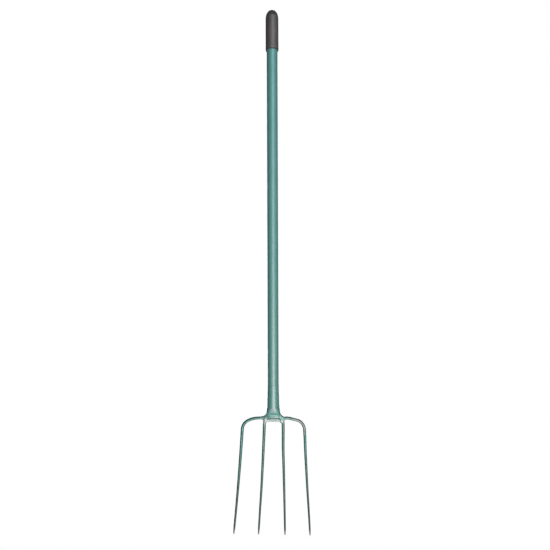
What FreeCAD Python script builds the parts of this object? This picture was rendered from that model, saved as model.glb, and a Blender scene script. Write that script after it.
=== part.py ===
"""Four-tine all-steel garden fork: tubular handle, welded socket and two bent bows of tines.

Frame: millimetres, +Z up along the handle, -Y towards the hollow side of the tines, +X to the
right as seen from that side. The origin is on the handle's axis at the middle of the grip's
straight barrel, where the hand holds it. A "level" is always a height in this frame.
"""
import FreeCAD, Part
import os
import Sketcher
from FreeCAD import Placement, Rotation, Vector

# name, value, what it is (millimetres and degrees)
SIZES = [
    ("grip_diameter", 37.8, "outside of the grip's barrel"),
    ("grip_barrel", 92.0, "straight length of the grip"),
    ("grip_dome", 27.0, "height of the grip's domed end"),
    ("grip_bore_depth", 102.0, "depth the tube goes into the grip"),
    ("tube_diameter", 32.0, "outside of the handle tube"),
    ("tube_wall", 1.5, "wall of the handle tube"),
    ("tube_length", 1085.0, "handle tube, end to end"),
    ("weld_groove", 1.2, "depth of the V groove between tube and socket"),
    ("weld_proud", 0.15, "how far the dressed girth weld stands proud"),
    ("spigot_length", 38.0, "spigot of the socket inside the tube"),
    ("spigot_play", 0.05, "radial play of the spigot in the tube"),
    ("spigot_wall", 2.2, "wall of the spigot"),
    ("socket_wall", 3.0, "wall of the socket at its wide end"),
    ("socket_cone", 66.0, "round tapered length of the socket"),
    ("socket_round_end", 35.8, "diameter where the taper ends"),
    ("socket_press", 19.0, "length over which the socket is pressed flat"),
    ("skirt_above_bar", 10.0, "flat skirt of the foot, above the outer bar"),
    ("skirt_over_bar", 4.0, "how far the skirt reaches down over the outer bar"),
    ("foot_width", 40.6, "pressed foot, side to side"),
    ("foot_depth", 18.0, "pressed foot, front to back"),
    ("bar_diameter", 9.0, "round bar of both bows at the crown"),
    ("point_diameter", 5.3, "tine where its point begins"),
    ("tip_diameter", 2.7, "blunt end of the point"),
    ("point_length", 16.5, "length of the point"),
    ("crown_cant", 7.0, "forward tilt of both bows at the crown"),
    ("dish_start", 45.0, "depth below the outer bar where the tines begin to curve"),
    ("dish_radius", 717.0, "radius of the tines' forward curve"),
    ("dish_turn", 20.0, "angle of that curve"),
    ("outer_half_width", 91.7, "outer tine's axis from the middle, below its elbow"),
    ("outer_shoulder", 100.0, "radius of the gentle shoulders, to the bar's axis"),
    ("outer_slope", 16.0, "angle the shoulders fall away by before the elbows"),
    ("outer_bend", 33.5, "radius of the elbows, to the bar's axis"),
    ("outer_splay", 3.0, "sideways lean of the outer tines"),
    ("inner_half_width", 26.8, "inner tine's axis from the middle, below its corner"),
    ("inner_bend", 10.5, "radius of the inner corners, to the bar's axis"),
    ("inner_splay", 2.0, "sideways lean of the inner tines"),
    ("fillet_leg", 15.0, "leg of the concave side welds on the crown"),
    ("fillet_web", 7.0, "side welds, front to back"),
    ("foot_bead", 3.8, "diameter of the beads under the foot's skirt"),
    ("foot_bead_length", 34.0, "length of the beads under the foot's skirt"),
    ("bar_bead", 3.2, "diameter of the runs between the two bars"),
    ("bar_bead_length", 26.0, "length of the runs between the two bars"),
    ("corner_leg", 9.0, "leg of the concave corner welds"),
    ("corner_web", 6.0, "corner welds, front to back"),
]

# Levels worked out from the driving sizes, as expressions on the sheet.
GRIP_RIM = "(-Sizes.grip_barrel / 2)"
TUBE_TOP = f"({GRIP_RIM} + Sizes.grip_bore_depth)"
JOINT = f"({TUBE_TOP} - Sizes.tube_length)"
PRESS_TOP = f"({JOINT} - Sizes.socket_cone)"
BAR_TOP = f"({PRESS_TOP} - Sizes.socket_press - Sizes.skirt_above_bar)"
OUTER_BAR = f"({BAR_TOP} - Sizes.bar_diameter / 2)"

doc = FreeCAD.newDocument("GardenFork")
sheet = doc.addObject("Spreadsheet::Sheet", "Sizes")
for row, (alias, number, note) in enumerate(SIZES, start=1):
    sheet.set(f"A{row}", str(number))
    sheet.setAlias(f"A{row}", alias)
    sheet.set(f"B{row}", note)
doc.recompute()

subparts = {}


# ------------------------------------------------------------------ helpers

def value(expression):
    """The number an expression gives with the sheet's present sizes."""
    result = sheet.evalExpression(expression)
    return float(getattr(result, "Value", result))


def bind(item, **expressions):
    """Bind properties to expressions; a double underscore in a name stands for a dot."""
    for name, expression in expressions.items():
        path = name.replace("__", ".")
        item.setExpression("." + path if "." in path else path, expression)
    return item


def add(kind, name, **expressions):
    """A document object with its dimensions and position bound to the sheet."""
    return bind(doc.addObject(kind, name), **expressions)


def origin_plane(body, role):
    """One of the body's own origin planes or axes."""
    return next(item for item in body.Origin.OriginFeatures if item.Role == role)


def sketch_on(body, name, role, tilt=None, **offset):
    """A sketch on an origin plane, moved by bound offsets and tilted about its own x axis."""
    sketch = body.newObject("Sketcher::SketchObject", name)
    sketch.AttachmentSupport = (origin_plane(body, role), [""])
    sketch.MapMode = "FlatFace"
    if tilt:
        sketch.AttachmentOffset = Placement(Vector(), Rotation(Vector(1, 0, 0), value(tilt)))
        sketch.setExpression(".AttachmentOffset.Rotation.Angle", tilt)
    for axis, expression in offset.items():
        sketch.setExpression(f".AttachmentOffset.Base.{axis}", expression)
    return sketch


def sketch_across(body, name, spine, edge, end):
    """A sketch square to one end (0 or 1) of a spine's edge."""
    sketch = body.newObject("Sketcher::SketchObject", name)
    sketch.AttachmentSupport = (spine, [edge])
    sketch.MapMode = "NormalToEdge"
    sketch.MapPathParameter = end
    return sketch


def dimension(sketch, kind, *where, size):
    """A driving constraint bound to an expression."""
    number = sketch.addConstraint(Sketcher.Constraint(kind, *where, value(size)))
    sketch.setExpression(f"Constraints[{number}]", size)


def pin(sketch, edge, end, place):
    """Hold one point of an edge at a place given as two expressions."""
    for kind, axis, size in (("DistanceX", -2, place[0]), ("DistanceY", -1, place[1])):
        if size == "0":
            sketch.addConstraint(Sketcher.Constraint("PointOnObject", edge, end, axis))
        else:
            dimension(sketch, kind, -1, 1, edge, end, size=size)


def at(place):
    """A sketch point from two expressions."""
    return Vector(value(place[0]), value(place[1]), 0)


def draw(sketch, places, arcs=None, closed=True):
    """Lines through places in turn; arcs gives an edge's (centre x, centre y, radius)."""
    arcs = arcs or {}
    total = len(places) if closed else len(places) - 1
    ends = []
    for index in range(total):
        start, stop = at(places[index]), at(places[(index + 1) % len(places)])
        shape = Part.LineSegment(start, stop)
        if index in arcs:
            centre = at(arcs[index])
            outward = (start + stop) * 0.5 - centre
            crest = centre + outward.normalize() * (start - centre).Length
            shape = Part.Arc(start, crest, stop)
        edge = sketch.addGeometry(shape, False)
        forward = (sketch.getPoint(edge, 1) - start).Length < 1e-6
        ends.append((edge, 1, 2) if forward else (edge, 2, 1))
    for index, (edge, first, last) in enumerate(ends):
        pin(sketch, edge, first, places[index])
        if index + 1 < total or closed:
            following = ends[(index + 1) % total]
            sketch.addConstraint(
                Sketcher.Constraint("Coincident", edge, last, following[0], following[1]))
        else:
            pin(sketch, edge, last, places[-1])
        if index in arcs:
            dimension(sketch, "Radius", edge, size=arcs[index][2])
    return sketch


def circle(sketch, diameter, height="0"):
    """A circle centred on the sketch's vertical axis at a bound height."""
    start = Part.Circle(at(("0", height)), Vector(0, 0, 1), value(diameter) / 2)
    edge = sketch.addGeometry(start, False)
    dimension(sketch, "Diameter", edge, size=diameter)
    pin(sketch, edge, 3, ("0", height))
    return sketch


def oval(sketch, half_width, half_depth):
    """An ellipse on the sketch's axes, its long axis along x."""
    wide, deep = value(half_width), value(half_depth)
    edge = sketch.addGeometry(Part.Ellipse(Vector(), wide, deep), False)
    sketch.exposeInternalGeometry(edge)
    pin(sketch, edge, 3, ("0", "0"))
    major, minor = edge + 1, edge + 2
    sketch.addConstraint(Sketcher.Constraint("Horizontal", major))
    dimension(sketch, "Distance", major, size=f"2 * {half_width}")
    dimension(sketch, "Distance", minor, size=f"2 * {half_depth}")
    return sketch


def feature(body, kind, name, profile, **settings):
    """A PartDesign feature of a profile sketch, with plain settings."""
    item = body.newObject(f"PartDesign::{kind}", name)
    item.Profile = profile
    for key, setting in settings.items():
        setattr(item, key, setting)
    return item


def spin(body, name, profile):
    """A full turn of a profile about the body's vertical axis."""
    return feature(body, "Revolution", name, profile,
                   ReferenceAxis=(origin_plane(body, "Z_Axis"), [""]), Angle=360)


def keep(name, item):
    """Name a finished object as a sub-part of the fork."""
    item.Label = name
    subparts[name] = item
    return item


# ------------------------------------------------------------------ handle

def make_grip():
    """Soft cap: a straight barrel with a domed end, bored for the tube."""
    radius = "Sizes.grip_diameter / 2"
    barrel = add("Part::Cylinder", "GripBarrel", Radius=radius, Height="Sizes.grip_barrel",
                 Placement__Base__z=GRIP_RIM)
    dome = add("Part::Ellipsoid", "GripDome", Radius1="Sizes.grip_dome", Radius2=radius,
               Radius3=radius, Placement__Base__z="Sizes.grip_barrel / 2")
    dome.Angle1 = 0
    outside = doc.addObject("Part::Fuse", "GripOutside")
    outside.Base, outside.Tool = barrel, dome
    bore = add("Part::Cylinder", "GripBore", Radius="Sizes.tube_diameter / 2",
               Height="Sizes.grip_bore_depth", Placement__Base__z=GRIP_RIM)
    grip = doc.addObject("Part::Cut", "Grip")
    grip.Base, grip.Tool = outside, bore
    return keep("grip", grip)


def make_handle_tube():
    """Straight tube, its lower end bevelled for the girth weld."""
    body = add("PartDesign::Body", "HandleTube", Placement__Base__z=JOINT)
    outside = "Sizes.tube_diameter / 2"
    inside = f"{outside} - Sizes.tube_wall"
    wall = draw(sketch_on(body, "TubeWall", "XZ_Plane"), [
        (inside, "0"),
        (f"{outside} - Sizes.weld_groove", "0"),
        (outside, "Sizes.weld_groove"),
        (outside, "Sizes.tube_length"),
        (inside, "Sizes.tube_length"),
    ])
    spin(body, "TubeTurn", wall)
    return keep("handle_tube", body)


def make_tube_weld():
    """Girth weld that fills the V groove between tube and socket, dressed nearly flush."""
    body = add("PartDesign::Body", "TubeWeld", Placement__Base__z=JOINT)
    outside = "Sizes.tube_diameter / 2"
    ring = draw(sketch_on(body, "WeldSection", "XZ_Plane"), [
        (f"{outside} - Sizes.weld_groove", "0"),
        (outside, "-Sizes.weld_groove"),
        (f"{outside} + Sizes.weld_proud", "0"),
        (outside, "Sizes.weld_groove"),
    ])
    spin(body, "WeldTurn", ring)
    return keep("tube_weld", body)


def make_socket():
    """Conical neck with a spigot in the tube; its foot is pressed flat and saddles the bar."""
    body = add("PartDesign::Body", "Socket", Placement__Base__z=JOINT)
    outside, groove = "Sizes.tube_diameter / 2", "Sizes.weld_groove"
    spigot = f"{outside} - Sizes.tube_wall - Sizes.spigot_play"
    wide_end, cone = "Sizes.socket_round_end / 2", "Sizes.socket_cone"
    neck = draw(sketch_on(body, "NeckSection", "XZ_Plane"), [
        (f"{wide_end} - Sizes.socket_wall", f"-{cone}"),
        (wide_end, f"-{cone}"),
        (outside, f"-{groove}"),
        (f"{outside} - {groove}", "0"),
        (spigot, "0"),
        (spigot, "Sizes.spigot_length"),
        (f"{spigot} - Sizes.spigot_wall", "Sizes.spigot_length"),
        (f"{spigot} - Sizes.spigot_wall", "0"),
    ])
    spin(body, "NeckTurn", neck)
    skirt_top = f"-{cone} - Sizes.socket_press"
    skirt_height = "Sizes.skirt_above_bar + Sizes.skirt_over_bar"
    round_end = circle(sketch_on(body, "RoundEnd", "XY_Plane", z=f"-{cone}"),
                       "Sizes.socket_round_end")
    pressed = oval(sketch_on(body, "PressedEnd", "XY_Plane", z=skirt_top),
                   "Sizes.foot_width / 2", "Sizes.foot_depth / 2")
    feature(body, "AdditiveLoft", "Press", round_end, Sections=[pressed], Ruled=True)
    skirt = feature(body, "Pad", "Skirt", pressed, Reversed=True)
    bind(skirt, Length=skirt_height)
    saddle = circle(sketch_on(body, "SaddleSection", "YZ_Plane"), "Sizes.bar_diameter",
                    f"{skirt_top} - Sizes.skirt_above_bar - Sizes.bar_diameter / 2")
    feature(body, "Pocket", "Saddle", saddle, Type="ThroughAll", Midplane=True)
    return keep("socket", body)


# ------------------------------------------------------------------ bows of tines

def make_bend(body, name, centre_x, centre_z, radius, turn, start=None):
    """A bend of the bar about a centre in the bow's plane; start is the slope it begins at."""
    section = circle(sketch_on(body, f"{name}Section", "YZ_Plane", start, y=centre_z, z=centre_x),
                     "Sizes.bar_diameter", radius)
    bent = feature(body, "Revolution", name, section, ReferenceAxis=(section, ["H_Axis"]))
    return bind(bent, Angle=turn)


def make_bow(name, label, drop, half_width, bend, splay, shoulder=None, slope="0"):
    """One round bar: crown, bends, two tapered tines curving forward to blunt points.

    The body's own z axis is canted forward with the head. drop is how far this bow's crown
    lies below the outer bar, measured in that canted direction. With a shoulder radius the
    crown first falls away by slope on that radius, then turns down on the bend radius.
    """
    cant = "Sizes.crown_cant"
    body = add("PartDesign::Body", name)
    body.Placement = Placement(Vector(), Rotation(Vector(1, 0, 0), -value(cant)))
    bind(body, Placement__Base__y=f"-({drop}) * sin({cant})",
         Placement__Base__z=f"{OUTER_BAR} - ({drop}) * cos({cant})",
         Placement__Rotation__Angle=f"-{cant}")
    start = shoulder or bend
    elbow_x = f"({half_width} - {bend} * cos({splay}))"
    elbow_z = f"(({start} - {bend}) * cos({slope}) - {start})"
    crown_end = f"({elbow_x} - ({start} - {bend}) * sin({slope}))"
    tine_top = f"(-{elbow_z} - {bend} * sin({splay}))"

    crown = feature(body, "Pad", f"{name}Crown",
                    circle(sketch_on(body, f"{name}CrownSection", "YZ_Plane"),
                           "Sizes.bar_diameter"), Midplane=True)
    bind(crown, Length=f"2 * {crown_end}")
    bends = []
    if shoulder:
        bends.append(make_bend(body, f"{name}Shoulder", crown_end, f"-{start}", start, slope))
    bends.append(make_bend(body, f"{name}Elbow", elbow_x, elbow_z, bend,
                           f"90 - {slope} - {splay}", slope if shoulder else None))

    straight = f"(Sizes.dish_start - {drop} - {tine_top})"
    radius, turn = "Sizes.dish_radius", "Sizes.dish_turn"
    hollow = f"-{radius} * (1 - cos({turn}))"
    length = f"-{straight} - {radius} * sin({turn})"
    spine = draw(
        sketch_on(body, f"{name}Spine", "YZ_Plane", tilt=f"-{splay}",
                  y=f"-{tine_top}", z=half_width),
        [("0", "0"), ("0", f"-{straight}"), (hollow, length),
         (f"{hollow} - Sizes.point_length * sin({turn})",
          f"{length} - Sizes.point_length * cos({turn})")],
        arcs={1: (f"-{radius}", f"-{straight}", radius)}, closed=False)
    root = circle(sketch_across(body, f"{name}Root", spine, "Edge1", 0), "Sizes.bar_diameter")
    neck = circle(sketch_across(body, f"{name}Neck", spine, "Edge3", 0),
                  "Sizes.point_diameter")
    end = circle(sketch_across(body, f"{name}End", spine, "Edge3", 1), "Sizes.tip_diameter")
    tine = feature(body, "AdditivePipe", f"{name}Tine", root, Spine=(spine, ["Edge1", "Edge2"]),
                   Transformation="Multisection", Sections=[neck])
    tip = feature(body, "AdditiveLoft", f"{name}Tip", neck, Sections=[end], Ruled=True)

    pair = body.newObject("PartDesign::Mirrored", f"{name}Pair")
    pair.Originals = bends + [tine, tip]
    pair.MirrorPlane = (origin_plane(body, "YZ_Plane"), [""])
    body.Tip = pair
    return keep(label, body)


# ------------------------------------------------------------------ welds

def make_cutter(*pieces):
    """The joined solids that every weld is laid against."""
    cutter = doc.addObject("Part::MultiFuse", "Neighbours")
    cutter.Shapes = list(pieces)
    return cutter


def weld(label, metal, cutter):
    """Weld metal with its neighbours' shapes taken out of it."""
    run = doc.addObject("Part::Cut", f"{metal.Name}Cut")
    run.Base, run.Tool = metal, cutter
    return keep(label, run)


def make_bead(name, diameter, length, y, level):
    """A straight bead along x."""
    bead = doc.addObject("Part::Cylinder", name)
    bead.Placement = Placement(Vector(), Rotation(Vector(0, 1, 0), 90))
    return bind(bead, Radius=f"{diameter} / 2", Height=length, Placement__Base__x=f"-{length} / 2",
                Placement__Base__y=y, Placement__Base__z=level)


def make_web(name, side, level, places, arcs, thickness):
    """A flat web of weld metal in the x-z plane, on the right (side 1) or left (side -1)."""
    body = doc.addObject("PartDesign::Body", name)
    if side < 0:
        body.Placement = Placement(Vector(), Rotation(Vector(0, 0, 1), 180))
    bind(body, Placement__Base__z=level)
    section = draw(sketch_on(body, f"{name}Section", "XZ_Plane"), places, arcs)
    bind(feature(body, "Pad", f"{name}Pad", section, Midplane=True), Length=thickness)
    return body


def make_side_fillet(name, side):
    """Concave weld from the socket's skirt down onto a shoulder."""
    inner, leg = "(Sizes.foot_width / 2 - 0.3)", "Sizes.fillet_leg"
    root = f"{inner} - Sizes.skirt_over_bar"
    under = "-Sizes.bar_diameter / 4"
    places = [(root, under), (f"{inner} + {leg}", under), (f"{inner} + {leg}", "0"),
              (inner, leg), (root, leg)]
    arcs = {2: (f"{inner} + {leg}", leg, leg)}
    return make_web(name, side, BAR_TOP, places, arcs, "Sizes.fillet_web")


def make_corner_fillet(name, side):
    """Weld between the outer bar's underside and the inner bow's bend."""
    bar, bend, leg = "Sizes.bar_diameter", "Sizes.inner_bend", "Sizes.corner_leg"
    flank = f"(Sizes.inner_half_width + {bar} / 2)"
    bend_x = f"(Sizes.inner_half_width - {bend} * cos(Sizes.inner_splay))"
    places = [(f"{bend_x} - {bar} / 4", f"{bar} / 9"), (f"{flank} + {leg}", f"{bar} / 9"),
              (f"{flank} + {leg}", "0"), (flank, f"-{leg}"),
              (f"Sizes.inner_half_width + {bar} / 9", f"-{leg}"),
              (f"{bend_x} + {bend} * sin(45)", f"-{bar} / 2 - {bend} * (1 - cos(45))")]
    arcs = {2: (f"{flank} + {leg}", f"-{leg}", leg)}
    return make_web(name, side, f"({OUTER_BAR} - {bar} / 2)", places, arcs, "Sizes.corner_web")


def make_welds(cutter):
    """Every weld on the crown, in front and behind, left and right."""
    bar = "Sizes.bar_diameter"
    foot_y = f"({bar} / 2 + Sizes.foot_bead / 2)"
    foot_level = f"{BAR_TOP} - Sizes.skirt_over_bar - Sizes.foot_bead / 4"
    groove_y = f"({bar} / 3)"
    groove_level = f"{OUTER_BAR} - {bar} / 2"
    for place, sign in (("front", "-"), ("rear", "")):
        bead = make_bead(f"Foot{place.title()}", "Sizes.foot_bead", "Sizes.foot_bead_length",
                         f"{sign}{foot_y}", foot_level)
        weld(f"socket_weld_{place}", bead, cutter)
        bead = make_bead(f"Bars{place.title()}", "Sizes.bar_bead", "Sizes.bar_bead_length",
                         f"{sign}{groove_y}", groove_level)
        weld(f"bar_weld_{place}", bead, cutter)
    for place, side in (("left", -1), ("right", 1)):
        weld(f"socket_weld_{place}", make_side_fillet(f"Side{place.title()}", side), cutter)
        weld(f"corner_weld_{place}", make_corner_fillet(f"Corner{place.title()}", side), cutter)


# ------------------------------------------------------------------ check and write

def faults():
    """Everything in the document that failed, and sub-parts without one valid solid."""
    found = [f"{item.Name}: {item.State}" for item in doc.Objects
             if {"Invalid", "Error"} & set(item.State)]
    for name, item in subparts.items():
        if item.Shape.isNull() or not item.Shape.isValid() or len(item.Shape.Solids) != 1:
            found.append(f"{name}: not one valid solid")
    return found


make_grip()
make_handle_tube()
make_tube_weld()
socket = make_socket()
outer_bow = make_bow("OuterBow", "outer_tines", "0", "Sizes.outer_half_width",
                     "Sizes.outer_bend", "Sizes.outer_splay", "Sizes.outer_shoulder",
                     "Sizes.outer_slope")
inner_bow = make_bow("InnerBow", "inner_tines", "Sizes.bar_diameter", "Sizes.inner_half_width",
                     "Sizes.inner_bend", "Sizes.inner_splay")
make_welds(make_cutter(socket, outer_bow, inner_bow))
doc.recompute()
problems = faults()
for name, item in subparts.items():
    box = item.Shape.optimalBoundingBox()
    print(f"{name:20s} {item.Shape.Volume / 1000:8.2f} cm3  x {box.XMin:8.2f} {box.XMax:7.2f}"
          f"  y {box.YMin:7.2f} {box.YMax:6.2f}  z {box.ZMin:9.2f} {box.ZMax:9.2f}")
if problems:
    raise SystemExit("\n".join(problems))
os.makedirs("parts", exist_ok=True)
for name, item in subparts.items():
    item.Shape.exportStep(f"parts/{name}.step")
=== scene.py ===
"""Looks of the four-tine garden fork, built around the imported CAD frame.

Shapes are worked out in millimetres in the CAD's frame, and their meshes are scaled to metres.
Materials, camera, lights and floor are in metres. Levels come from the CAD nodes' boxes, so the
pieces follow the frame.
"""
import math

import bpy
import numpy as np
from mathutils import Euler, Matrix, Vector


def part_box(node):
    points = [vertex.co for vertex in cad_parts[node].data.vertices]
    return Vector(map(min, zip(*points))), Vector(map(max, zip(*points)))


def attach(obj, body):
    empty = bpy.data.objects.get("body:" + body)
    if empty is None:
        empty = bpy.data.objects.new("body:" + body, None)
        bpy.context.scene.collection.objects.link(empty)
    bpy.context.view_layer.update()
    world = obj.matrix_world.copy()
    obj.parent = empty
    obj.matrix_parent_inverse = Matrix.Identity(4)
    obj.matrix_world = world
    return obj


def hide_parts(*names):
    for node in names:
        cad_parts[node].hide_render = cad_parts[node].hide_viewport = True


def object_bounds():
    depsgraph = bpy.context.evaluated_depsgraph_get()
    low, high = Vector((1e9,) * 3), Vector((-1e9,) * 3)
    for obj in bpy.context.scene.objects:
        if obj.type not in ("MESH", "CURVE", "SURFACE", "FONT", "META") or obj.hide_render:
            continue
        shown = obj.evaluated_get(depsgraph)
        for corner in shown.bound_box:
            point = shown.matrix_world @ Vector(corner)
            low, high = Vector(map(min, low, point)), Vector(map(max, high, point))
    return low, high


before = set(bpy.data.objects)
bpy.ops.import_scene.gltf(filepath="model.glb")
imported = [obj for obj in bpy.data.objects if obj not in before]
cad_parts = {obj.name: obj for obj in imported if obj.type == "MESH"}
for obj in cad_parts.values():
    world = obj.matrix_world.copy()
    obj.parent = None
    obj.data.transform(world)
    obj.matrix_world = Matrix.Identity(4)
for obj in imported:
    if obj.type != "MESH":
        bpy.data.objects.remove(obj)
cad_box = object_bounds()
BODY = "root"
MM = 0.001


def node_box(name):
    """A CAD node's lowest and highest corners in millimetres."""
    low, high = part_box(name)
    return np.array(low) / MM, np.array(high) / MM


GRIP_LOW, GRIP_HIGH = node_box("grip")
TUBE_LOW, TUBE_HIGH = node_box("handle_tube")
SOCKET_BOTTOM = node_box("socket")[0][2]
BOW_TOP = node_box("outer_tines")[1][2]
TUBE_RADIUS = TUBE_HIGH[0]
JOINT = TUBE_LOW[2]                      # level where tube and socket meet
FOOT_RIM = SOCKET_BOTTOM + 1.5           # lower rim of the socket's pressed foot, above its bead
FOOT_DEPTH = JOINT - FOOT_RIM            # from the joint down to that rim
FOOT_HALF_WIDTH = 20.3
BAR = 4.5                                # radius of the bars at the crown
BAR_LEVEL = BOW_TOP - BAR                # axis of the outer crossbar
CANT = math.radians(7)                   # forward tilt of the whole head
OUTER_SPLAY = math.radians(3)            # sideways lean of the outer tines
INNER_SPLAY = math.radians(2)
SUNK = 6.9                               # drop between the crossbars' axes, pressed together
DISH_START = 45.0                        # depth below the outer bar where the forward curve begins
DISH_RADIUS = 717.0
DISH_TURN = math.radians(20)
POINT_LENGTH = 16.5
POINT_RADIUS = 2.65                      # of a tine where its point begins
TIP_RADIUS = 1.35
FLOOR_LEVEL = cad_box[0][2]


# ------------------------------------------------------------------ mesh helpers

def make_piece(name, points, faces, nodes, material):
    """A smooth-shaded piece from points in millimetres that stands for CAD nodes."""
    mesh = bpy.data.meshes.new(name)
    mesh.from_pydata([tuple(p) for p in np.asarray(points) * MM], [], faces)
    mesh.validate()
    mesh.polygons.foreach_set("use_smooth", [True] * len(mesh.polygons))
    mesh.materials.append(material)
    piece = bpy.data.objects.new(name, mesh)
    bpy.context.scene.collection.objects.link(piece)
    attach(piece, BODY)
    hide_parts(*nodes)
    return piece


def skin(rings):
    """Points and quads over closed rings of equal length, with a fan over each end."""
    rings = [np.asarray(ring) for ring in rings]
    count = len(rings[0])
    points = np.vstack(rings + [rings[0].mean(0)[None], rings[-1].mean(0)[None]])
    first, last = len(points) - 2, len(points) - 1
    faces = []
    for row in range(len(rings) - 1):
        for k in range(count):
            a, b = row * count + k, row * count + (k + 1) % count
            faces.append((a, b, b + count, a + count))
    end = (len(rings) - 1) * count
    for k in range(count):
        faces.append((first, (k + 1) % count, k))
        faces.append((last, end + k, end + (k + 1) % count))
    return points, faces


def smooth_step(low, high, value):
    """0 below low, 1 above high, an S-curve between."""
    t = np.clip((np.asarray(value, float) - low) / (high - low), 0, 1)
    return t * t * (3 - 2 * t)


def hump(value, *levels):
    """Rises from 0 to 1 between the first two levels and falls back between the last two."""
    return smooth_step(levels[0], levels[1], value) * smooth_step(levels[3], levels[2], value)


# ------------------------------------------------------------------ grip

def grip_rings(segments=96):
    """Closed profile turned about z: drafted barrel, full dome, rounded rim and bore."""
    rim, top = GRIP_LOW[2], GRIP_HIGH[2] - 0.8
    radius, dome, fullness, round_edge, clearance = GRIP_HIGH[0], 27.0, 2.3, 0.9, 0.02
    draft = 0.993                        # the barrel under the dome, as a share of its rim's radius
    band_height, band = 0.3, (3.2, 4.2, 7.4, 8.4)
    base = top - dome
    profile = []
    for t in np.linspace(0.004, 1, 40):
        angle = t * math.pi / 2
        profile.append((radius * math.sin(angle) ** (2 / fullness) * draft,
                        base + dome * math.cos(angle) ** (2 / fullness)))
    for t in np.linspace(0, 1, 24)[1:-5]:
        profile.append((radius * (draft + (1 - draft) * t),
                        base + (rim + round_edge - base) * t))
    # a low moulded band runs round above the rim
    for above in np.linspace(9.5, round_edge, 20):
        profile.append((radius + band_height * float(hump(above, *band)), rim + above))
    for angle in np.linspace(0, math.pi / 2, 7)[1:]:
        profile.append((radius - round_edge * (1 - math.cos(angle)),
                        rim + round_edge * (1 - math.sin(angle))))
    bore, ceiling = TUBE_RADIUS + clearance, TUBE_HIGH[2] + clearance
    profile += [(bore + 0.5, rim), (bore, rim + 0.5), (bore, rim + 30), (bore, ceiling),
                (bore * 0.5, ceiling), (0.05, ceiling)]
    turn = np.linspace(0, 2 * math.pi, segments, endpoint=False)
    return [np.c_[r * np.cos(turn), r * np.sin(turn), np.full(segments, z)] for r, z in profile]


# ------------------------------------------------------------------ socket

def pinched(rows):
    """Half of the socket's depth, front to back, where the jaws pinched it, at each row."""
    # depth below the joint, half depth there
    outline = ((68, 18.0), (72, 17.2), (76, 16.0), (80, 14.4), (84, 12.3), (88, 9.7), (90, 8.3),
               (91, 8.0), (92, 8.1), (94, 8.8), (FOOT_DEPTH - 1.5, 9.2), (FOOT_DEPTH, 8.4))
    half_depths = np.interp(rows, *zip(*outline))
    blur = np.array([1, 2, 3, 2, 1]) / 9
    return np.convolve(np.pad(half_depths, 2, mode="edge"), blur, "valid")


def socket_rings(segments=96):
    """Cone pressed between flat jaws towards its foot, with a flared skirt below the crease."""
    turn = np.linspace(0, 2 * math.pi, segments, endpoint=False)
    across, deep = np.cos(turn), np.sin(turn)
    top_radius, flare, lip_radius = 16.0, 1.9, 14.9
    cone_end, press_start, crease, edge = 66.0, 58.0, 88.0, 0.8
    widening = FOOT_HALF_WIDTH - top_radius - flare
    rows = np.concatenate([[0.0, 1.2], np.linspace(2, cone_end - 6, 20),
                           np.linspace(cone_end - 5, FOOT_DEPTH - edge, 44)])
    rings = []
    for depth, half_depth in zip(rows, pinched(rows)):
        cone = top_radius + flare * min(depth, cone_end) / cone_end if depth > 0 else lip_radius
        half_width = cone + widening * smooth_step(cone_end - 2, crease - 1, depth)
        flat = 2 / (2 + 1.2 * smooth_step(press_start, crease, depth))
        x = half_width * np.sign(across) * np.abs(across) ** flat
        y = min(cone, half_depth) * np.sign(deep) * np.abs(deep) ** flat
        rings.append(np.c_[x, y, np.full(segments, JOINT - depth)])
    # the rim's edge is rounded inwards
    last = rings[-1]
    for scale, drop in ((0.985, 0.5), (0.95, edge), (0.80, edge)):
        ring = last * (scale, scale, 1)
        ring[:, 2] = FOOT_RIM + edge - drop
        rings.append(ring)
    # and the rim rises towards the sides
    lift = 1.8 * np.abs(across) ** 4
    for ring in rings:
        ring[:, 2] += lift * smooth_step(FOOT_DEPTH - 9, FOOT_DEPTH, JOINT - ring[:, 2])
    return rings


# ------------------------------------------------------------------ bows of tines

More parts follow.
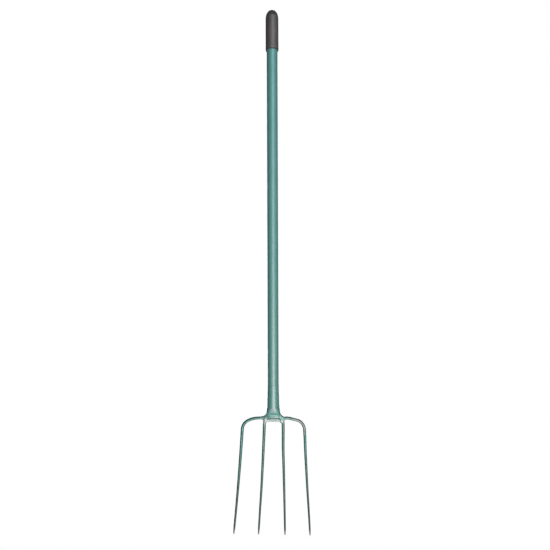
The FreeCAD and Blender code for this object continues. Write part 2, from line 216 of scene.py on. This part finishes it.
def half_bow(crossing, shoulder, slope, run, bend, splay, drop, short):
    """One half of a bow in its own upright plane: centre points and radii from the middle out.

    crossing is where the tine's line, run up, crosses the crown's axis. The bar falls away by
    slope on the shoulder radius, goes straight for run, then turns down on the bend radius.
    drop is how far this crown lies below the outer one, and the point is cut short by short.
    """
    fall = (shoulder * (1 - math.cos(slope)) + run * math.sin(slope)
            + bend * (math.cos(slope) - math.sin(splay)))
    start = (crossing + fall * math.tan(splay) - shoulder * math.sin(slope)
             - run * math.cos(slope) - bend * (math.cos(splay) - math.sin(slope)))
    flat = [(x, 0.0) for x in np.linspace(0, start, 14)]
    for angle in np.linspace(0, slope, 10)[1:]:
        flat.append((start + shoulder * math.sin(angle), -shoulder * (1 - math.cos(angle))))
    x, z = flat[-1][0] + run * math.cos(slope), flat[-1][1] - run * math.sin(slope)
    for angle in np.linspace(slope, math.pi / 2 - splay, 26):
        flat.append((x + bend * (math.sin(angle) - math.sin(slope)),
                     z - bend * (math.cos(slope) - math.cos(angle))))
    top_x, top_z = flat[-1]
    straight, point = DISH_START - drop + top_z, POINT_LENGTH - short
    spine = [(0.0, -d) for d in np.linspace(0, straight, 5)[1:]]
    for angle in np.linspace(0, DISH_TURN, 60)[1:]:
        spine.append((-DISH_RADIUS * (1 - math.cos(angle)),
                      -straight - DISH_RADIUS * math.sin(angle)))
    end_y, end_d = spine[-1]
    point_steps = 7
    for part in np.linspace(0, 1, point_steps + 1)[1:]:
        spine.append((end_y - point * part * math.sin(DISH_TURN),
                      end_d - point * part * math.cos(DISH_TURN)))
    points = [(x, 0.0, z) for x, z in flat]
    points += [(top_x - d * math.sin(splay), y, top_z + d * math.cos(splay)) for y, d in spine]
    points = np.array(points)
    along = np.concatenate([[0], np.cumsum(np.linalg.norm(np.diff(points, axis=0), axis=1))])
    root, shaft_end, tip = along[len(flat) - 1], along[-1 - point_steps], along[-1]
    radii = np.interp(along, [0, root, shaft_end, tip], [BAR, BAR, POINT_RADIUS, TIP_RADIUS])
    return points, radii


def bow(left, right, drop):
    """Centre points and radii of a whole bow in the frame, from the left tip to the right tip."""
    (left_points, left_radii), (right_points, right_radii) = left, right
    points = np.vstack([left_points[:0:-1] * (-1, 1, 1), right_points])
    radii = np.concatenate([left_radii[:0:-1], right_radii])
    points[:, 2] -= drop
    y = points[:, 1] * math.cos(CANT) + points[:, 2] * math.sin(CANT)
    z = points[:, 2] * math.cos(CANT) - points[:, 1] * math.sin(CANT)
    return np.c_[points[:, 0], y, z + BAR_LEVEL], radii


def resample(points, radii, step):
    """The same line with points about one step apart."""
    along = np.concatenate([[0], np.cumsum(np.linalg.norm(np.diff(points, axis=0), axis=1))])
    marks = np.linspace(0, along[-1], int(along[-1] / step) + 1)
    line = np.c_[[np.interp(marks, along, points[:, k]) for k in range(3)]].T
    return line, np.interp(marks, along, radii)


def sweep(points, radii, flatten=None, segments=28):
    """Rings of a round bar along a line, its ends rounded off.

    flatten gives each point's height as a share of its width; a flattened bar is also squarer.
    """
    tangent = np.gradient(points, axis=0)
    tangent /= np.linalg.norm(tangent, axis=1)[:, None]
    side = np.cross(tangent, (0, 1, 0))
    side /= np.linalg.norm(side, axis=1)[:, None]
    other = np.cross(tangent, side)
    turn = np.linspace(0, 2 * math.pi, segments, endpoint=False)
    squash = np.ones(len(points)) if flatten is None else flatten(points)
    rings = []
    for centre, radius, share, up, out in zip(points, radii, squash, side, other):
        across, deep = (np.sign(w) * np.abs(w) ** (1 / (3 - 2 * share))
                        for w in (np.cos(turn), np.sin(turn)))
        rings.append(centre + radius * (share * across[:, None] * up + deep[:, None] * out))
    bulge, almost_closed = 0.6, 0.93 * math.pi / 2
    for end, way in ((0, -1), (-1, 1)):
        centre, radius = points[end], radii[end]
        cap = [centre + (rings[end] - centre) * math.cos(angle)
               + way * tangent[end] * radius * bulge * math.sin(angle)
               for angle in np.linspace(0, almost_closed, 6)[1:]]
        rings = cap[::-1] + rings if end == 0 else rings + cap
    return rings


def hand_bent_outer(line, radii):
    """The outer bow as it was bent by hand: it strays by a millimetre, and its elbows differ."""
    x, below = line[:, 0].copy(), BAR_LEVEL - line[:, 2]
    # the right tine bows in by a millimetre half way down
    line[:, 0] -= (x > 0) * hump(below, 40, 110, 170, 270)
    # the right shoulder is a little high near the socket and low further out, the left one low
    right = 0.5 * hump(x, 28, 36, 42, 50) - 1.1 * hump(x, 46, 58, 70, 84)
    left = -1.1 * smooth_step(30, 52, -x)
    line[:, 2] += np.where(x > 0, right, left) * smooth_step(60, 30, below)
    # the bar is stretched thinner over the right shoulder and upset thicker at the left elbow
    stretched, upset = 0.06 * smooth_step(60, 95, x), 0.05 * smooth_step(90, 98, -x)
    return line, radii * (1 - stretched + upset)


def hand_bent_inner(line, radii):
    """The inner bow as it was bent by hand: it strays to the right, most at its right corner."""
    x, below = line[:, 0].copy(), BAR_LEVEL - line[:, 2]
    right, left = 2.2 * hump(below, 8, 14, 10, 95), 0.6 * hump(below, 8, 30, 180, 250)
    line[:, 0] += np.where(x > 0, right, left)
    return line, radii


def crown_squash(points):
    """The inner crossbar is hammered a little flat between its bends."""
    return 0.88 + 0.12 * smooth_step(17, 27, np.abs(points[:, 0]))


# ------------------------------------------------------------------ weld metal

def line_distance(points, line, radii):
    """Distance from points to a round bar along a line."""
    best = np.full(len(points), 1e9)
    for a, b, ra, rb in zip(line[:-1], line[1:], radii[:-1], radii[1:]):
        run = b - a
        t = np.clip((points - a) @ run / (run @ run), 0, 1)
        reach = np.linalg.norm(points - a - t[:, None] * run, axis=1) - (ra + (rb - ra) * t)
        np.minimum(best, reach, out=best)
    return best


def near(line, radii, level):
    """The part of a bow's line above a level, as a distance field."""
    keep = line[:, 2] > level
    return lambda points: line_distance(points, line[keep], radii[keep])


def skirt_distance(points):
    """Distance from points to the socket's pressed foot, measured out from its axis."""
    half_depth, rim = 8.8, FOOT_RIM + 0.4
    x, y = np.abs(points[:, 0]), np.abs(points[:, 1])
    reach = ((x / FOOT_HALF_WIDTH) ** 3 + (y / half_depth) ** 3) ** (1 / 3)
    around = np.hypot(x, y) * (1 - 1 / np.maximum(reach, 0.05))
    return np.maximum(around, rim - points[:, 2])


def fading(leg, low, high):
    """A fillet's leg that goes from 0 at low to its full size at high, out from the middle."""
    return lambda points: leg * smooth_step(low, high, np.abs(points[:, 0]))


def thinning(leg):
    """The same leg, thinned out towards the front and the rear."""
    return lambda points: leg(points) * smooth_step(9, 3, np.abs(points[:, 1]))


def surface_nets(field, low, step):
    """Points and quads of the surface where a sampled field crosses zero."""
    inside = field < 0
    shape = np.array(field.shape)
    corners = [(i, j, k) for i in (0, 1) for j in (0, 1) for k in (0, 1)]
    cells = np.stack([inside[i:shape[0] - 1 + i, j:shape[1] - 1 + j, k:shape[2] - 1 + k]
                      for i, j, k in corners])
    mixed = cells.any(0) & ~cells.all(0)
    number = np.full(mixed.shape, -1)
    number[mixed] = np.arange(mixed.sum())
    where = np.argwhere(mixed)
    total, hits = np.zeros((len(where), 3)), np.zeros(len(where))
    for a in corners:
        for axis in range(3):
            if a[axis]:
                continue
            b = np.array(a)
            b[axis] = 1
            fa = field[tuple((where + a).T)]
            fb = field[tuple((where + b).T)]
            cross = (fa < 0) != (fb < 0)
            t = np.zeros(len(where))
            t[cross] = fa[cross] / (fa[cross] - fb[cross])
            total[cross] += np.array(a) + t[cross, None] * (b - np.array(a))
            hits += cross
    points = low + (where + total / hits[:, None]) * step
    faces = []
    for axis in range(3):
        u, v = (axis + 1) % 3, (axis + 2) % 3
        ahead = np.take(inside, range(1, shape[axis]), axis)
        here = np.take(inside, range(shape[axis] - 1), axis)
        for edge in np.argwhere(ahead != here):
            if edge[u] == 0 or edge[v] == 0 or edge[u] >= shape[u] - 1 or edge[v] >= shape[v] - 1:
                continue
            ring = []
            for du, dv in ((1, 1), (0, 1), (0, 0), (1, 0)):
                cell = edge.copy()
                cell[u] -= du
                cell[v] -= dv
                ring.append(number[tuple(cell)])
            if inside[tuple(edge)]:
                ring.reverse()
            faces.append(tuple(int(n) for n in ring))
    return points, faces


def weld_metal(name, low, high, first, second, leg, ripple, along, material, step=0.75):
    """A fillet of weld metal between two fields, with the ripples of its passes.

    low and high are the corners of its box, leg its reach along the two surfaces, ripple the
    height of its ripples and along the distance that they are counted in.
    """
    pitch = 2.6                          # from one ripple to the next
    sunk = 1.4                           # how deep the metal goes into what it joins
    thin_edge = 0.18                     # how far it dips under the surface where it runs out
    trimmed = 0.97                       # share of the leg where it ends
    margin = 1.6 * step                  # kept free inside the box, so that the surface closes
    low, high = np.array(low, float), np.array(high, float)
    axes = [np.arange(low[k], high[k] + step, step) for k in range(3)]
    grid = np.stack(np.meshgrid(*axes, indexing="ij"), -1)
    points = grid.reshape(-1, 3)
    a, b = first(points), second(points)
    leg = np.maximum(leg(points), 0.05)
    blend = np.clip(leg - np.abs(a - b), 0, None) / leg
    nearest = np.minimum(a, b)
    passes = 0.5 + 0.5 * np.sin(2 * math.pi * along(points) / pitch)
    field = nearest - blend ** 2 * leg / 4 - ripple * passes * blend + thin_edge
    field = np.maximum(field, -(nearest + sunk))
    field = np.maximum(field, np.abs(a - b) - trimmed * leg)
    centre, half = (low + high) / 2, (high - low) / 2 - margin
    outside = (np.abs(points - centre) - half).max(1)
    field = np.maximum(field, outside).reshape(grid.shape[:3])
    points, faces = surface_nets(field, low, step)
    return make_piece(name + "_bead", points, faces, [name], material)


# ------------------------------------------------------------------ materials

class Tree:
    """A small helper that lays out a material's nodes."""

    def __init__(self, name):
        self.material = bpy.data.materials.new(name)
        self.material.use_nodes = True
        self.tree = self.material.node_tree
        self.shader = self.tree.nodes["Principled BSDF"]

    def node(self, kind, inputs=None, **settings):
        node = self.tree.nodes.new("ShaderNode" + kind)
        for key, value in settings.items():
            setattr(node, key, value)
        for key, value in (inputs or {}).items():
            if isinstance(value, bpy.types.NodeSocket):
                self.tree.links.new(value, node.inputs[key])
            else:
                node.inputs[key].default_value = value
        return node

    def place(self):
        return self.node("TexCoord").outputs["Object"]

    def noise(self, place, scale, detail=3.0, roughness=0.5):
        return self.node("TexNoise", {"Vector": place, "Scale": scale, "Detail": detail,
                                      "Roughness": roughness}).outputs["Fac"]

    def ramp(self, value, low, high, bottom=0.0, top=1.0):
        return self.node("MapRange", {"Value": value, "From Min": low, "From Max": high,
                                      "To Min": bottom, "To Max": top}).outputs["Result"]

    def mix(self, factor, one, two):
        node = self.node("Mix", data_type="RGBA")
        for index, value in ((0, factor), (6, one), (7, two)):
            if isinstance(value, bpy.types.NodeSocket):
                self.tree.links.new(value, node.inputs[index])
            else:
                node.inputs[index].default_value = value
        return node.outputs[2]

    def math(self, operation, one, two):
        return self.node("Math", {0: one, 1: two}, operation=operation).outputs[0]

    def bump(self, height, strength, distance, normal=None):
        inputs = {"Height": height, "Strength": strength, "Distance": distance}
        if normal:
            inputs["Normal"] = normal
        return self.node("Bump", inputs).outputs["Normal"]

    def orange_peel(self, place):
        """The pebbled skin of powder coat."""
        peel = self.bump(self.noise(place, 420.0, 2.0), 0.10, 0.0004)
        return self.bump(self.noise(place, 1500.0, 2.0), 0.06, 0.0002, peel)

    def feed(self, name, value):
        if isinstance(value, bpy.types.NodeSocket):
            self.tree.links.new(value, self.shader.inputs[name])
        else:
            self.shader.inputs[name].default_value = value


def tube_material():
    """Sea-green powder coat with orange peel, deeper in colour towards the head."""
    tree = Tree("powder_coat_tube")
    place = tree.place()
    height = tree.node("SeparateXYZ", {0: place}).outputs["Z"]
    patches = tree.ramp(tree.noise(place, 9.0, 4.0, 0.6), 0.3, 0.7)
    colour = tree.mix(patches, (0.060, 0.208, 0.192, 1), (0.075, 0.238, 0.220, 1))
    deeper = tree.ramp(height, 0.0, -1.05)
    tree.feed("Base Color", tree.mix(deeper, colour, (0.036, 0.122, 0.107, 1)))
    tree.feed("Roughness", tree.ramp(tree.noise(place, 60.0, 3.0), 0.3, 0.7, 0.40, 0.47))
    tree.feed("IOR", 1.7)
    tree.feed("Metallic", tree.ramp(height, 0.0, -1.03, 0.27, 0.0))
    tree.feed("Normal", tree.orange_peel(place))
    return tree.material


PALE_PAINTED_HIGHLIGHT = (0.195, 0.228, 0.218, 1)          # painted highlight, pale, on the inner crossbar and the crown's left corner
GREY_PAINTED_HIGHLIGHT = (0.125, 0.130, 0.124, 1)          # painted highlight, grey, on the right shoulder
DULL_PAINTED_SHADE = (0.052, 0.090, 0.096, 1)          # painted shade, dull grey-blue, that dims the neck's highlight above the foot
GROOVE_PAINTED_SHADE = (0.016, 0.045, 0.040, 1)         # painted shade, near black, in the groove between the socket's rim and the crossbar
# patches of painted highlight on the crown and painted shade at the neck and in the groove
PATCHES = (                              # tint, strength, centre and size in metres
    (PALE_PAINTED_HIGHLIGHT, 0.62, (0.0, 0.0, -1.1366), (0.042, 0.02, 0.0064)),
    (PALE_PAINTED_HIGHLIGHT, 0.45, (-0.028, 0.0, -1.138), (0.013, 0.02, 0.013)),
    (GREY_PAINTED_HIGHLIGHT, 0.70, (0.078, 0.0, -1.148), (0.034, 0.03, 0.030)),
    (DULL_PAINTED_SHADE, 0.55, (-0.003, 0.0, -1.1010), (0.014, 0.05, 0.0082)),
    (GROOVE_PAINTED_SHADE, 1.00, (0.0, 0.0, -1.1290), (0.024, 0.02, 0.0021)),
)


def head_material():
    """The same paint on the head: greyer on the bars, darker towards the points, with painted
    highlights on the crown and painted shade at the neck and in the groove under the socket.
    """
    tree = Tree("powder_coat_head")
    place = tree.place()
    axes = tree.node("SeparateXYZ", {0: place}).outputs
    sideways = tree.math("ABSOLUTE", axes["X"], 0.0)
    outer = tree.ramp(sideways, 0.060, 0.090)
    scuffs = tree.ramp(tree.noise(place, 45.0, 5.0, 0.7), 0.35, 0.75, 0.75, 1.0)
    off_the_socket = tree.math("MAXIMUM", tree.ramp(sideways, 0.020, 0.045),
                               tree.ramp(axes["Z"], -1.120, -1.150))
    on_bars = tree.math("MULTIPLY", off_the_socket, scuffs)
    slanted = tree.math("SUBTRACT", axes["Z"], tree.math("MULTIPLY", sideways, 0.7))
    # darker towards the points, and higher up on the outer tines
    darker_to_points = tree.math("MULTIPLY", tree.ramp(slanted, -1.25, -1.44), scuffs)
    blotches = tree.ramp(tree.noise(place, 30.0, 4.0, 0.6), 0.3, 0.7)
    colour = tree.mix(blotches, (0.033, 0.114, 0.100, 1), (0.040, 0.132, 0.116, 1))
    bar_colour = tree.mix(outer, (0.015, 0.066, 0.053, 1), (0.018, 0.092, 0.080, 1))
    colour = tree.mix(on_bars, colour, bar_colour)
    colour = tree.mix(darker_to_points, colour, (0.020, 0.032, 0.030, 1))
    ragged = tree.ramp(tree.noise(place, 160.0, 3.0, 0.6), 0.3, 0.7, -0.15, 0.15)
    painted_shade = 0.0
    for tint, strength, centre, size in PATCHES:
        offset = tree.node("VectorMath", {0: place, 1: centre}, operation="SUBTRACT").outputs[0]
        scaled = tree.node("VectorMath", {0: offset, 1: size}, operation="DIVIDE").outputs[0]
        reach = tree.node("VectorMath", {0: scaled}, operation="LENGTH").outputs["Value"]
        patch = tree.ramp(tree.math("ADD", reach, ragged), 1.15, 0.6, 0.0, strength)
        colour = tree.mix(patch, colour, tint)
        # the painted shade at the neck and in the groove is also made rougher
        if tint in (DULL_PAINTED_SHADE, GROOVE_PAINTED_SHADE):
            painted_shade = tree.math("MAXIMUM", painted_shade, patch)
    tree.feed("Base Color", colour)
    tree.feed("Metallic", tree.math("MULTIPLY", on_bars, tree.ramp(outer, 0.0, 1.0, 0.60, 0.80)))
    tree.feed("Roughness", tree.math("MAXIMUM", tree.ramp(scuffs, 0.75, 1.0, 0.36, 0.44),
                                     tree.math("MULTIPLY", painted_shade, 0.9)))
    tree.feed("IOR", 1.7)
    tree.feed("Normal", tree.orange_peel(place))
    return tree.material


def grip_material():
    """Dark grey soft plastic with a fine grain and handling marks, with painted shade, near black
    and rougher, on the top of the dome and the rim's edge.
    """
    tree = Tree("grip_plastic")
    place = tree.place()
    height = tree.node("SeparateXYZ", {0: place}).outputs["Z"]
    # painted shade: the dome's top and the rim's edge are painted near black and made rougher
    painted_shade = tree.math("MAXIMUM", tree.ramp(height, 0.0505, 0.0545),
                     tree.ramp(height, -0.0432, -0.0445))
    patches = tree.ramp(tree.noise(place, 35.0, 4.0, 0.6), 0.3, 0.7)
    colour = tree.mix(patches, (0.030, 0.029, 0.028, 1), (0.046, 0.045, 0.044, 1))
    tree.feed("Base Color", tree.mix(painted_shade, colour, (0.008, 0.008, 0.008, 1)))
    roughness = tree.ramp(tree.noise(place, 90.0, 4.0, 0.6), 0.3, 0.7, 0.46, 0.56)
    tree.feed("Roughness", tree.math("MAXIMUM", roughness, tree.math("MULTIPLY", painted_shade, 0.95)))
    tree.feed("IOR", 1.8)
    tree.feed("Specular Tint", (1.0, 1.0, 0.95, 1))
    grain = tree.node("TexVoronoi", {"Vector": place, "Scale": 900.0}).outputs["Distance"]
    coarse = tree.bump(grain, 0.25, 0.0003)
    tree.feed("Normal", tree.bump(tree.noise(place, 250.0, 3.0), 0.15, 0.0004, coarse))
    return tree.material


# ------------------------------------------------------------------ build the pieces

tube_paint = tube_material()
head_paint = head_material()
plastic = grip_material()
for node in ("handle_tube", "tube_weld"):
    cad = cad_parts[node]
    cad.data.materials.clear()
    cad.data.materials.append(tube_paint)

points, faces = skin(grip_rings())
make_piece("grip_cap", points, faces, ["grip"], plastic)
points, faces = skin(socket_rings())
make_piece("socket_neck", points, faces, ["socket"], head_paint)

outer_left = half_bow(crossing=90.0, shoulder=62.0, slope=math.radians(23), run=5.0, bend=30.0,
                      splay=OUTER_SPLAY, drop=0.0, short=1.3)
outer_right = half_bow(crossing=90.0, shoulder=100.0, slope=math.radians(11.5), run=6.0, bend=31.5,
                       splay=OUTER_SPLAY, drop=0.0, short=3.5)
inner_left = half_bow(crossing=26.44, shoulder=12.5, slope=0.0, run=0.0, bend=12.5,
                      splay=INNER_SPLAY, drop=SUNK, short=2.2)
inner_right = half_bow(crossing=26.44, shoulder=10.5, slope=0.0, run=0.0, bend=10.5,
                       splay=INNER_SPLAY, drop=SUNK, short=2.8)
outer_line, outer_radii = hand_bent_outer(*resample(*bow(outer_left, outer_right, 0.0), 2.5))
inner_line, inner_radii = hand_bent_inner(*resample(*bow(inner_left, inner_right, SUNK), 1.5))

for name, line, radii, squash in (("outer_tines", outer_line, outer_radii, None),
                                  ("inner_tines", inner_line, inner_radii, crown_squash)):
    points, faces = skin(sweep(line, radii, squash))
    make_piece(name + "_bar", points, faces, [name], head_paint)

outer_bar = near(outer_line, outer_radii, BAR_LEVEL - 12)
inner_bar = near(inner_line, inner_radii, BAR_LEVEL - 40)
for name, sign in (("left", -1), ("right", 1)):
    span = sorted((sign * 11.0, sign * 46.0))
    weld_metal(f"socket_weld_{name}", (span[0], -10, BAR_LEVEL - 3), (span[1], 10, BAR_LEVEL + 25),
               skirt_distance, outer_bar, thinning(fading(16.5, 13, 22)), 0.2,
               lambda p: np.hypot(np.abs(p[:, 0]) - 36, p[:, 2] - BAR_LEVEL - 20), head_paint)
    weld_metal(f"corner_weld_{name}", (span[0], -8, BAR_LEVEL - 24), (span[1], 8, BAR_LEVEL + 1),
               outer_bar, inner_bar, fading(13.0, 14, 25), 0.1,
               lambda p: np.abs(p[:, 0]) * 0.9, head_paint)
for name, low, high in (("front", -14, -2), ("rear", 2, 14)):
    weld_metal(f"socket_weld_{name}", (-24, low, BAR_LEVEL - 9), (24, high, BAR_LEVEL + 8),
               skirt_distance, outer_bar, fading(6.5, 22, 15), 0.25,
               lambda p: p[:, 0] + 0.15 * p[:, 2], head_paint)
    weld_metal(f"bar_weld_{name}", (-22, low * 0.6, BAR_LEVEL - 9), (22, high * 0.6, BAR_LEVEL),
               outer_bar, inner_bar, fading(3.4, 20, 13), 0.15,
               lambda p: p[:, 0] + 0.2 * p[:, 2], head_paint)


# ------------------------------------------------------------------ studio

FRAME_WIDTH = 550
FOCAL = 475.0                            # focal length in picture elements of that width
CAMERA_DISTANCE = 1.4009                 # from the handle's axis
CAMERA_TURN = math.radians(3.71)         # to the right of straight in front
CAMERA_ROLL = math.radians(-0.195)
CAMERA_LEVEL = -0.6697                   # below the grip
SHIFT = (0.0040, -0.0231)                # of the lens, as shares of the frame's width


def make_camera():
    """Level, a little to the right of straight in front."""
    data = bpy.data.cameras.new("view")
    data.sensor_width = 36
    data.lens = data.sensor_width * FOCAL / FRAME_WIDTH
    data.shift_x, data.shift_y = SHIFT
    camera = bpy.data.objects.new("view", data)
    camera.location = (CAMERA_DISTANCE * math.sin(CAMERA_TURN),
                       -CAMERA_DISTANCE * math.cos(CAMERA_TURN), CAMERA_LEVEL)
    level = Euler((math.pi / 2, 0, CAMERA_TURN)).to_matrix()
    camera.rotation_euler = (level @ Euler((0, 0, CAMERA_ROLL)).to_matrix()).to_euler()
    bpy.context.scene.collection.objects.link(camera)
    bpy.context.scene.camera = camera


def softbox(name, azimuth, distance, level, size, radiance, colour=(1, 1, 1), target=None):
    """A soft rectangular light at an azimuth from straight in front, facing the fork."""
    turn = math.radians(azimuth)
    place = Vector((distance * math.sin(turn), -distance * math.cos(turn), level))
    aim = Vector((0, 0, level if target is None else target)) - place
    data = bpy.data.lights.new(name, "AREA")
    data.shape = "RECTANGLE"
    data.size, data.size_y = size
    data.energy = radiance * math.pi * size[0] * size[1]
    data.color = colour
    light = bpy.data.objects.new(name, data)
    light.location = place
    light.rotation_euler = aim.to_track_quat("-Z", "Y").to_euler()
    bpy.context.scene.collection.objects.link(light)


def make_world():
    """White behind the fork; a soft glow lights it from the right in front, a little from below."""
    world = bpy.data.worlds.new("studio")
    world.use_nodes = True
    tree = world.node_tree
    tree.nodes.clear()
    out = tree.nodes.new("ShaderNodeOutputWorld")
    seen, lit = (tree.nodes.new("ShaderNodeBackground") for _ in range(2))
    seen.inputs["Color"].default_value = (1, 1, 1, 1)
    lit.inputs["Color"].default_value = (1, 1, 1, 1)
    way = tree.nodes.new("ShaderNodeTexCoord")
    toward = tree.nodes.new("ShaderNodeVectorMath")
    toward.operation = "DOT_PRODUCT"
    toward.inputs[1].default_value = Vector((0.55, -0.78, -0.30)).normalized()
    glow = tree.nodes.new("ShaderNodeMapRange")
    glow.interpolation_type = "SMOOTHSTEP"
    for key, value in (("From Min", -0.2), ("From Max", 1.0), ("To Min", 0.05), ("To Max", 0.47)):
        glow.inputs[key].default_value = value
    tree.links.new(way.outputs["Generated"], toward.inputs[0])
    tree.links.new(toward.outputs["Value"], glow.inputs["Value"])
    tree.links.new(glow.outputs["Result"], lit.inputs["Strength"])
    path, mix = tree.nodes.new("ShaderNodeLightPath"), tree.nodes.new("ShaderNodeMixShader")
    tree.links.new(path.outputs["Is Camera Ray"], mix.inputs[0])
    tree.links.new(lit.outputs[0], mix.inputs[1])
    tree.links.new(seen.outputs[0], mix.inputs[2])
    tree.links.new(mix.outputs[0], out.inputs["Surface"])
    bpy.context.scene.world = world
    bpy.context.scene.view_settings.view_transform = "Standard"


def make_floor():
    """Plain white floor just under the points, evenly bright but for a trace of contact shade."""
    size, level = 20.0, FLOOR_LEVEL - 0.0005
    mesh = bpy.data.meshes.new("floor")
    mesh.from_pydata([(-size, -size, level), (size, -size, level), (size, size, level),
                      (-size, size, level)], [], [(0, 1, 2, 3)])
    tree = Tree("floor_white")
    contact = tree.node("AmbientOcclusion", {"Distance": 0.03}).outputs["AO"]
    glow = tree.ramp(contact, 0.3, 1.0, 0.9, 1.0)
    emission = tree.node("Emission", {"Strength": glow})
    output = tree.tree.nodes["Material Output"]
    tree.tree.links.new(emission.outputs[0], output.inputs["Surface"])
    mesh.materials.append(tree.material)
    floor = bpy.data.objects.new("floor", mesh)
    bpy.context.scene.collection.objects.link(floor)
    floor.visible_diffuse = floor.visible_glossy = floor.visible_shadow = False


make_camera()
make_world()
make_floor()
softbox("key_high", 19, 1.9, 0.40, (1.2, 1.7), 3.1, (1.0, 0.96, 1.08))
softbox("key_middle", 15, 1.9, -0.90, (1.05, 0.9), 4.9, (1.02, 0.99, 1.0))
softbox("key_low", 15.5, 1.9, -1.70, (1.6, 0.7), 9.7, (1.08, 1.0, 0.97))
softbox("key_floor", 3, 1.25, -2.25, (1.0, 0.9), 9.0, (1.06, 1.0, 0.98), target=-1.15)
softbox("rear", 186, 2.2, -0.55, (1.5, 2.6), 7.5)
